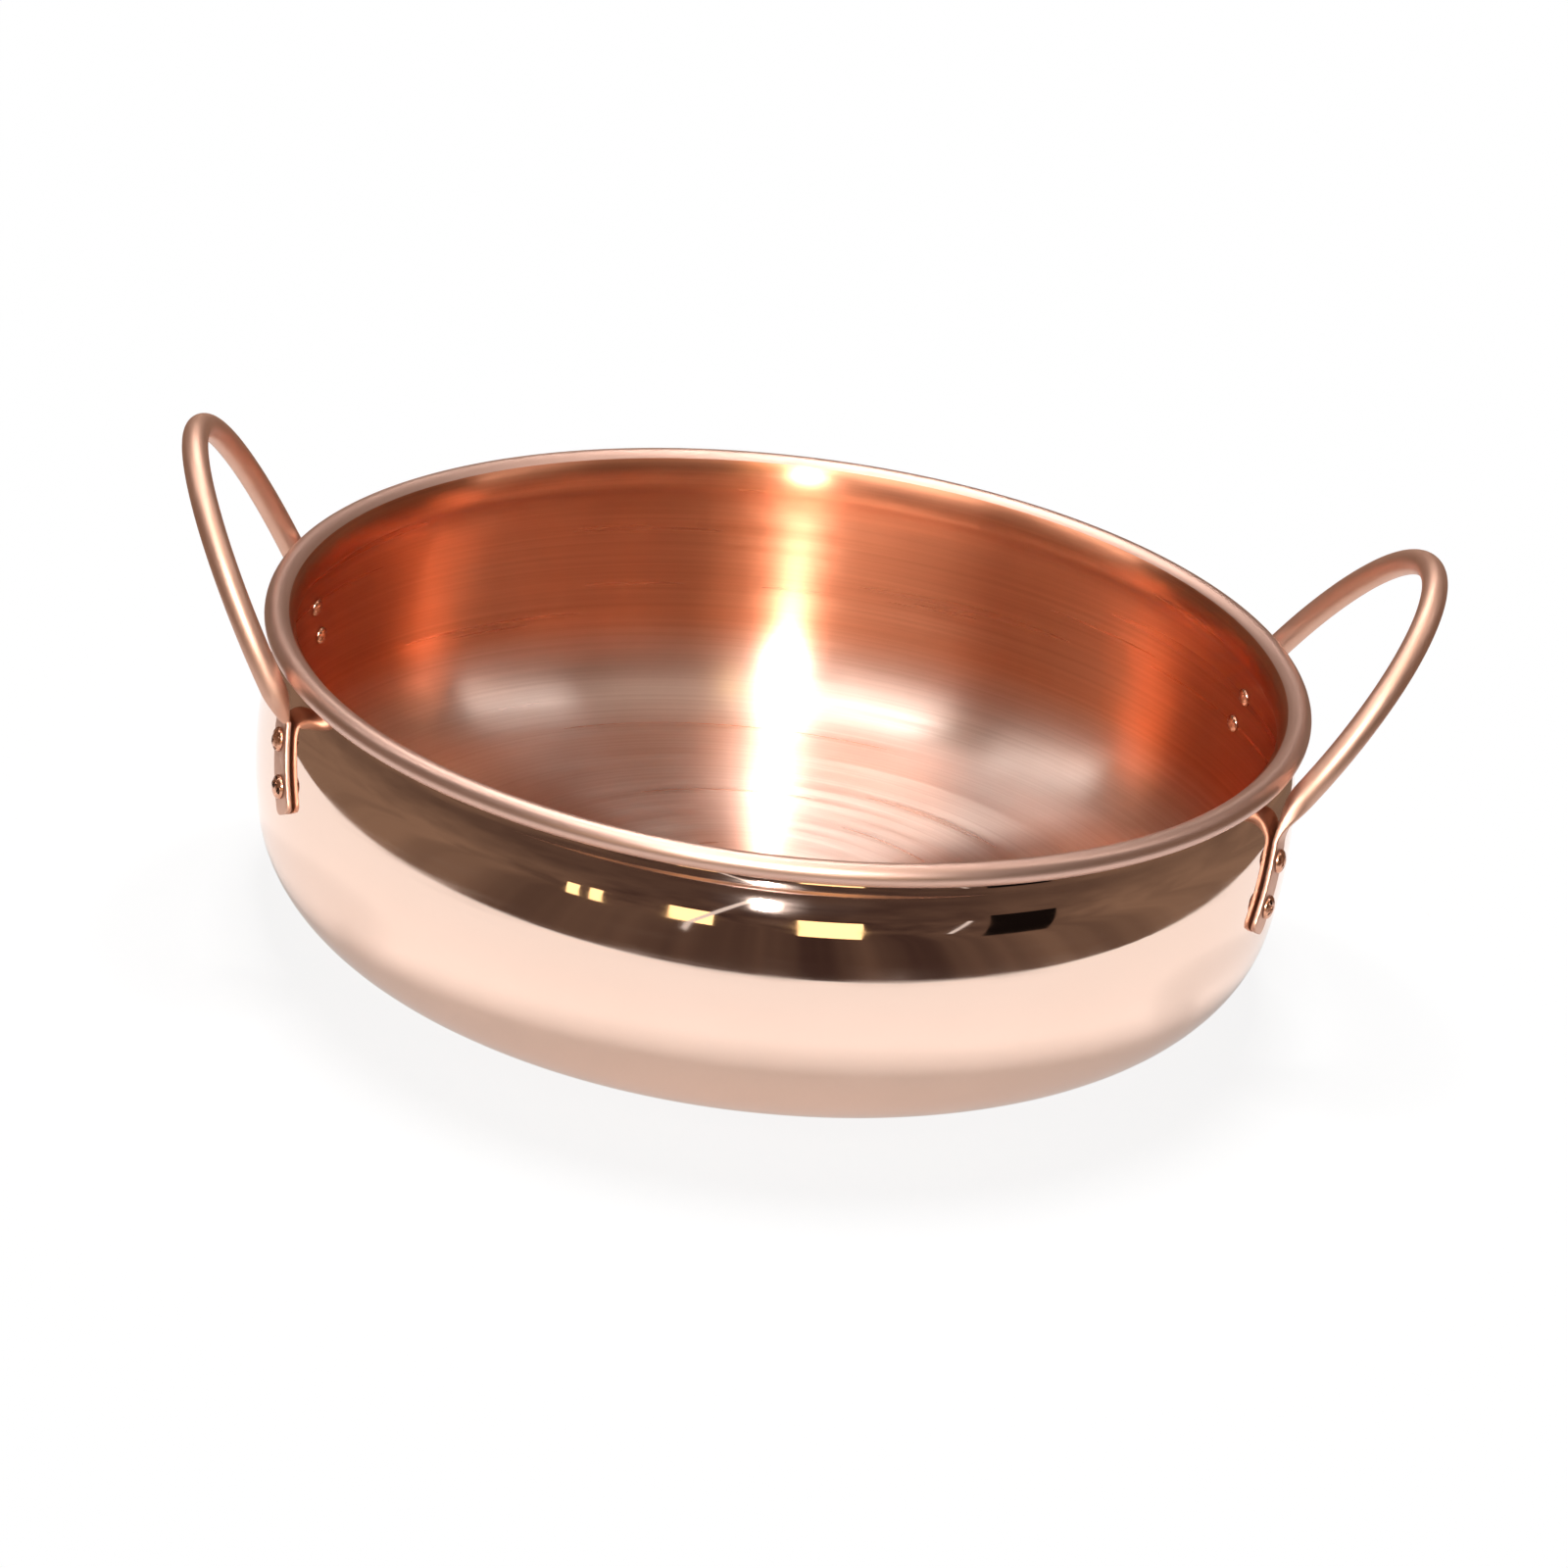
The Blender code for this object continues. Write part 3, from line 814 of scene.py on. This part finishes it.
class HOTPOT_OT_rim_wire(bpy.types.Operator):
    """Steel wire that the lip is rolled round"""

    bl_idname = "hotpot.rim_wire"
    bl_label = "Rim wire"

    def execute(self, context):
        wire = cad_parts["rim_wire"]
        wire.data.materials.clear()
        wire.data.materials.append(wire_steel(settings()[3]))
        return {"FINISHED"}


class HOTPOT_OT_handles(bpy.types.Operator):
    """Two loops of rod with hammered feet"""

    bl_idname = "hotpot.handles"
    bl_label = "Handles"

    def execute(self, context):
        sizes, handles, rivets, finish = settings()
        wall = Wall(sizes)
        copper = rod_copper(finish)
        for side_name in ("left", "right"):
            handle = Handle(wall, handles, rivets, side_name)
            rod = drawn_piece(f"rod_{side_name}", handle.rings())
            rod.data.materials.append(copper)
            smooth_shade(rod, 50)
            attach(rod, "root")
            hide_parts(f"handle_{side_name}")
        return {"FINISHED"}


class HOTPOT_OT_rivets(bpy.types.Operator):
    """Eight rivets, hammered at both ends"""

    bl_idname = "hotpot.rivets"
    bl_label = "Rivets"

    def rivet_line(self, sizes, handles, rivets):
        """Half-section from the tail's flat to the head's, height from the wall outwards."""
        seat = 2 * sizes.fit + handles.foot_thickness
        clinch = -(sizes.wall + sizes.fit)
        tail = []
        head = []
        for i in range(9):
            spoke = heading(math.pi / 2 * blend(0.08, 1, i / 8))
            tail.append(Vector((spoke.y * rivets.tail_diameter / 2, clinch - spoke.x * rivets.tail_height)))
            head.append(Vector((spoke.y * rivets.head_diameter / 2, seat + spoke.x * rivets.head_height)))
        shank = [Vector((rivets.shank / 2, clinch)), Vector((rivets.shank / 2, seat))]
        return tail + shank + head[::-1]

    def hammer(self, rivet, top, rivets, first):
        """Flats left by the hammer on the head: the crown is cut by planes that lean all round."""
        bpy.ops.object.mode_set(mode="EDIT")
        for i in range(7):
            lean = math.radians(0 if i == 0 else 17 + 5 * (i % 2))
            around = first + 2.4 * i
            away = Vector((math.sin(lean) * math.cos(around), math.sin(lean) * math.sin(around), math.cos(lean)))
            on_dome = Vector((
                away.x * rivets.head_diameter / 2 * 1.9,
                away.y * rivets.head_diameter / 2 * 1.9,
                top - rivets.head_height * (1 - math.sqrt(1 - (math.sin(lean) * 1.9) ** 2)),
            ))
            bpy.ops.mesh.select_all(action="SELECT")
            bpy.ops.mesh.bisect(
                plane_co=on_dome - away * rivets.flat_depth,
                plane_no=away,
                use_fill=True,
                clear_outer=True,
            )
        close_up()

    def execute(self, context):
        sizes, handles, rivets, finish = settings()
        wall = Wall(sizes)
        copper = rivet_copper(finish)
        line = self.rivet_line(sizes, handles, rivets)
        for number, side_name in enumerate(("left", "right")):
            handle = Handle(wall, handles, rivets, side_name)
            for place, (spot, turned) in enumerate(handle.rivet_frames().items()):
                rivet = turned_piece(f"rivet_head_{side_name}_{spot}", 28, line)
                self.hammer(rivet, line[-1].y, rivets, 0.7 * place + 1.9 * number)
                rivet.data.materials.append(copper)
                rivet.data.transform(turned)
                smooth_shade(rivet, 25)
                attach(rivet, "root")
                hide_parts(f"rivet_{side_name}_{spot}")
        return {"FINISHED"}


# Stage


def shining(name, shine, strength):
    """Plain glowing material for a card or a lamp."""
    material = bpy.data.materials.new(name)
    material.use_nodes = True
    tree = material.node_tree
    tree.nodes.clear()
    glow = add_node(tree, "ShaderNodeEmission", {"Color": (*shine, 1), "Strength": strength})
    add_node(tree, "ShaderNodeOutputMaterial", {"Surface": glow.outputs[0]})
    return material


def room_light(finish):
    """The room that the polished metal mirrors: dark walls under a pale ceiling.

    The walls are darkest in front and browner at the sides, in soft uneven patches.
    """
    material = bpy.data.materials.new("Dark room")
    material.use_nodes = True
    tree = material.node_tree
    tree.nodes.clear()
    place = add_node(tree, "ShaderNodeTexCoord").outputs["Object"]
    toward = add_node(tree, "ShaderNodeVectorMath", {0: place}, operation="NORMALIZE")
    split = add_node(tree, "ShaderNodeSeparateXYZ", {"Vector": toward.outputs[0]})
    patches = add_node(tree, "ShaderNodeTexNoise", {"Vector": toward.outputs[0], "Scale": 5.0, "Detail": 3.0})
    side = add_node(
        tree,
        "ShaderNodeMapRange",
        {"Value": split.outputs["Y"], "From Min": -0.95, "From Max": -0.2, "To Min": 0.0, "To Max": 0.75},
    )
    blotch = add_node(
        tree,
        "ShaderNodeMapRange",
        {"Value": patches.outputs[0], "From Min": 0.35, "From Max": 0.65, "To Min": 0.0, "To Max": 0.35},
    )
    uneven = add_node(
        tree, "ShaderNodeMath", {0: side.outputs[0], 1: blotch.outputs[0]}, operation="ADD"
    )
    dusk = add_node(
        tree,
        "ShaderNodeMapRange",
        {"Value": split.outputs["Z"], "From Min": 0.1, "From Max": 0.6, "To Min": 1.0, "To Max": 0.35},
    )
    lit = add_node(
        tree, "ShaderNodeMath", {0: uneven.outputs[0], 1: dusk.outputs[0]}, operation="MULTIPLY"
    )
    wall = add_node(
        tree,
        "ShaderNodeMix",
        {0: lit.outputs[0], 6: (*finish.room_dark, 1), 7: (*finish.room_side, 1)},
        data_type="RGBA",
    )
    above = add_node(
        tree,
        "ShaderNodeMapRange",
        {"Value": split.outputs["Z"], "From Min": 0.74, "From Max": 0.86},
        interpolation_type="SMOOTHSTEP",
    )
    whole = add_node(
        tree,
        "ShaderNodeMix",
        {0: above.outputs[0], 6: wall.outputs[2], 7: (*finish.ceiling, 1)},
        data_type="RGBA",
    )
    glow = add_node(tree, "ShaderNodeEmission", {"Color": whole.outputs[2]})
    add_node(tree, "ShaderNodeOutputMaterial", {"Surface": glow.outputs[0]})
    return material


def floor_white(finish):
    """Matt white floor: the lens and the metal see it pure white but for the pot's shadow."""
    material = bpy.data.materials.new("Matt white floor")
    material.use_nodes = True
    tree = material.node_tree
    shader = tree.nodes["Principled BSDF"]
    shader.inputs["Base Color"].default_value = (*finish.floor, 1)
    shader.inputs["Roughness"].default_value = 1
    shader.inputs["Specular IOR Level"].default_value = 0
    path = add_node(tree, "ShaderNodeLightPath")
    lens = add_node(
        tree, "ShaderNodeMath", {0: path.outputs["Is Camera Ray"], 1: 0.88}, operation="MULTIPLY"
    )
    other = add_node(
        tree,
        "ShaderNodeMath",
        {0: path.outputs["Is Glossy Ray"], 1: path.outputs["Is Transmission Ray"]},
        operation="MAXIMUM",
    )
    share = add_node(
        tree, "ShaderNodeMath", {0: other.outputs[0], 1: 0.38, 2: lens.outputs[0]}, operation="MULTIPLY_ADD"
    )
    glow = add_node(tree, "ShaderNodeEmission")
    both = add_node(
        tree, "ShaderNodeMixShader", {0: share.outputs[0], 1: shader.outputs[0], 2: glow.outputs[0]}
    )
    tree.links.new(both.outputs[0], tree.nodes["Material Output"].inputs["Surface"])
    return material


class HOTPOT_OT_stage(bpy.types.Operator):
    """Pale floor, the dark room in front, soft lamps and the camera"""

    bl_idname = "hotpot.stage"
    bl_label = "Stage"

    # The camera's place and aim, from its fit to the outlines of rim, base and handles
    camera_turn = math.radians(4.7)
    camera_place = (-0.1175, -1.4298, 0.6915)
    camera_yaw = 0.0842
    camera_dip = 0.4239
    camera_roll = 0.1234
    camera_lens = 117.2
    table_radius = 0.31
    room_radius = 2.6

    def camera(self):
        """Camera at the photograph's angle."""
        forward = Vector((
            math.sin(self.camera_yaw) * math.cos(self.camera_dip),
            math.cos(self.camera_yaw) * math.cos(self.camera_dip),
            -math.sin(self.camera_dip),
        ))
        level = Vector((math.cos(self.camera_yaw), -math.sin(self.camera_yaw), 0))
        top = level.cross(forward)
        right = math.cos(self.camera_roll) * level + math.sin(self.camera_roll) * top
        up = math.cos(self.camera_roll) * top - math.sin(self.camera_roll) * level
        data = bpy.data.cameras.new("camera")
        data.lens = self.camera_lens
        data.sensor_width = 36
        data.clip_end = 50
        camera = bpy.data.objects.new("camera", data)
        turned = Matrix((right, up, -forward)).transposed().to_4x4()
        camera.matrix_world = Matrix.Translation(self.camera_place) @ turned
        bpy.context.scene.collection.objects.link(camera)
        bpy.context.scene.camera = camera

    def mirrored_only(self, piece, material):
        """Show a piece of the studio in the metal's reflections alone."""
        piece.data.materials.append(material)
        piece.visible_camera = False
        piece.visible_diffuse = False
        piece.visible_shadow = False

    def card(self, name, material, size, azimuth, elevation, away, roll=0.0):
        """Flat card that faces the pot. Azimuth counts from the camera's side, to the right."""
        deselect()
        bpy.ops.mesh.primitive_plane_add(size=1)
        piece = bpy.context.object
        piece.name = name
        turned = math.radians(azimuth)
        level = math.cos(math.radians(elevation))
        spot = Vector((level * math.sin(turned), -level * math.cos(turned), math.sin(math.radians(elevation))))
        spot = Matrix.Rotation(-self.camera_turn, 3, "Z") @ spot * away
        facing = (-spot).to_track_quat("Z", "Y").to_matrix().to_4x4() @ Matrix.Rotation(math.radians(roll), 4, "Z")
        size_matrix = Matrix.Diagonal((size[0], size[1], 1, 1))
        piece.data.transform(Matrix.Translation(spot) @ facing @ size_matrix)
        self.mirrored_only(piece, material)

    def room(self, finish):
        """Round room whose dark floor starts at the edge of the white table."""
        deselect()
        bpy.ops.mesh.primitive_uv_sphere_add(segments=64, ring_count=32, radius=self.room_radius)
        dome = bpy.context.object
        dome.name = "room_walls"
        bpy.ops.object.mode_set(mode="EDIT")
        bpy.ops.mesh.select_all(action="SELECT")
        bpy.ops.mesh.bisect(plane_co=(0, 0, 0), plane_no=(0, 0, 1), clear_inner=True)
        bpy.ops.mesh.select_all(action="SELECT")
        bpy.ops.mesh.flip_normals()
        bpy.ops.object.mode_set(mode="OBJECT")
        light = room_light(finish)
        self.mirrored_only(dome, light)
        deselect()
        bpy.ops.mesh.primitive_circle_add(vertices=96, radius=self.table_radius, location=(0, 0, 0.0002))
        edge = bpy.context.object
        edge.name = "room_floor"
        bpy.ops.object.transform_apply(location=True, rotation=True, scale=True)
        bpy.ops.object.mode_set(mode="EDIT")
        bpy.ops.mesh.select_all(action="SELECT")
        bpy.ops.mesh.extrude_edges_move()
        grow = self.room_radius / self.table_radius
        bpy.ops.transform.resize(value=(grow, grow, 1))
        close_up()
        self.mirrored_only(edge, light)

    def execute(self, context):
        finish = settings()[3]
        scene = bpy.context.scene
        scene.view_settings.view_transform = "Standard"
        self.camera()

        world = bpy.data.worlds.new("studio")
        world.use_nodes = True
        world.node_tree.nodes["Background"].inputs["Color"].default_value = (1, 1, 1, 1)
        world.node_tree.nodes["Background"].inputs["Strength"].default_value = 0.1
        scene.world = world

        deselect()
        bpy.ops.mesh.primitive_circle_add(vertices=96, radius=8, fill_type="NGON", location=(0, 0, -0.0001))
        floor = bpy.context.object
        floor.name = "floor"
        bpy.ops.object.transform_apply(location=True, rotation=True, scale=True)
        floor.data.materials.append(floor_white(finish))

        sky = bpy.data.lights.new("overhead", "SUN")
        sky.energy = 2.99
        sky.angle = math.radians(18)
        overhead = bpy.data.objects.new("overhead", sky)
        lean = Vector((-0.02, 0.35, 1)).to_track_quat("Z", "Y")
        overhead.matrix_world = lean.to_matrix().to_4x4()
        overhead.visible_glossy = False
        scene.collection.objects.link(overhead)

        self.room(finish)
        warm = shining("Warm lamp", finish.lamp, 2.2)
        glow = shining("Warm spotlight", finish.lamp, 8.0)
        white = shining("White lamp", finish.floor, 90.0)
        spot = shining("Spotlight", finish.floor, 1300.0)
        side = shining("Side lamp", finish.floor, 16.0)
        faint = shining("Faint side lamp", finish.floor, 11.0)
        soft = shining("Softbox", finish.floor, 4.8)
        strong = shining("Strong softbox", finish.floor, 6.5)
        pale = shining("Pale wall", finish.ceiling, 0.4)
        tube = shining("Light tube", finish.floor, 0.8)
        flag = shining("Black flag", finish.flag, 1.0)
        self.card("lamp_right", warm, (0.145, 0.23), 13.5, 8, 0.7)
        self.card("lamp_middle", warm, (0.10, 0.20), -12, 6, 0.7)
        self.card("lamp_left", warm, (0.03, 0.16), -30, 6, 0.7)
        self.card("lamp_far_left", warm, (0.03, 0.14), -34.5, 6, 0.7)
        self.card("light_tube", tube, (0.008, 0.25), -7, 17, 0.42, 18)
        self.card("light_line", tube, (0.012, 0.16), 38, 12, 0.7, 20)
        self.card("flag", flag, (0.19, 0.34), 51, 9, 0.8, 8)
        self.card("flag_stand", flag, (0.012, 0.3), 49, 3, 0.81)
        self.card("spotlight", spot, (0.022, 0.50), 1, 31, 2.2)
        self.card("warm_spotlight", glow, (0.35, 0.25), 14, 62, 2.2)
        self.card("streak_lamp", white, (0.02, 1.9), 180, 72, 2.2)
        self.card("softbox_front", soft, (0.9, 1.1), -36, 66, 2.2)
        self.card("softbox_back", strong, (0.6, 0.8), -150, 62, 2.2)
        self.card("side_lamp_left", side, (0.08, 1.0), -95, 50, 2.1)
        self.card("side_lamp_right", faint, (0.08, 1.0), 95, 50, 2.1)
        self.card("side_wall_left", pale, (1.2, 0.9), -97, 52, 2.3)
        self.card("side_wall_right", pale, (1.2, 0.9), 97, 52, 2.3)
        self.card("back_wall", pale, (2.4, 1.2), 180, 48, 2.3)
        return {"FINISHED"}


class HOTPOT_PT_sidebar(bpy.types.Panel):
    """Sizes, finishes and pieces of the pot"""

    bl_idname = "HOTPOT_PT_sidebar"
    bl_label = "Copper hot pot"
    bl_space_type = "VIEW_3D"
    bl_region_type = "UI"
    bl_category = "Hot pot"

    def draw(self, context):
        for piece in PIECES:
            self.layout.operator(piece.bl_idname)
        for group in settings():
            box = self.layout.box()
            for name in group.__annotations__:
                box.prop(group, name)


GROUPS = {
    "pot_sizes": PotSizes,
    "handle_sizes": HandleSizes,
    "rivet_sizes": RivetSizes,
    "pot_finishes": Finishes,
}
PIECES = (
    HOTPOT_OT_pot_body,
    HOTPOT_OT_rim_wire,
    HOTPOT_OT_handles,
    HOTPOT_OT_rivets,
    HOTPOT_OT_stage,
)


def register():
    for name, group in GROUPS.items():
        bpy.utils.register_class(group)
        setattr(bpy.types.Scene, name, PointerProperty(type=group))
    for kind in (*PIECES, HOTPOT_PT_sidebar):
        bpy.utils.register_class(kind)


def unregister():
    for kind in (HOTPOT_PT_sidebar, *reversed(PIECES)):
        bpy.utils.unregister_class(kind)
    for name, group in GROUPS.items():
        delattr(bpy.types.Scene, name)
        bpy.utils.unregister_class(group)


def main():
    register()
    bpy.ops.hotpot.pot_body()
    bpy.ops.hotpot.rim_wire()
    bpy.ops.hotpot.handles()
    bpy.ops.hotpot.rivets()
    bpy.ops.hotpot.stage()


if __name__ == "__main__":
    main()
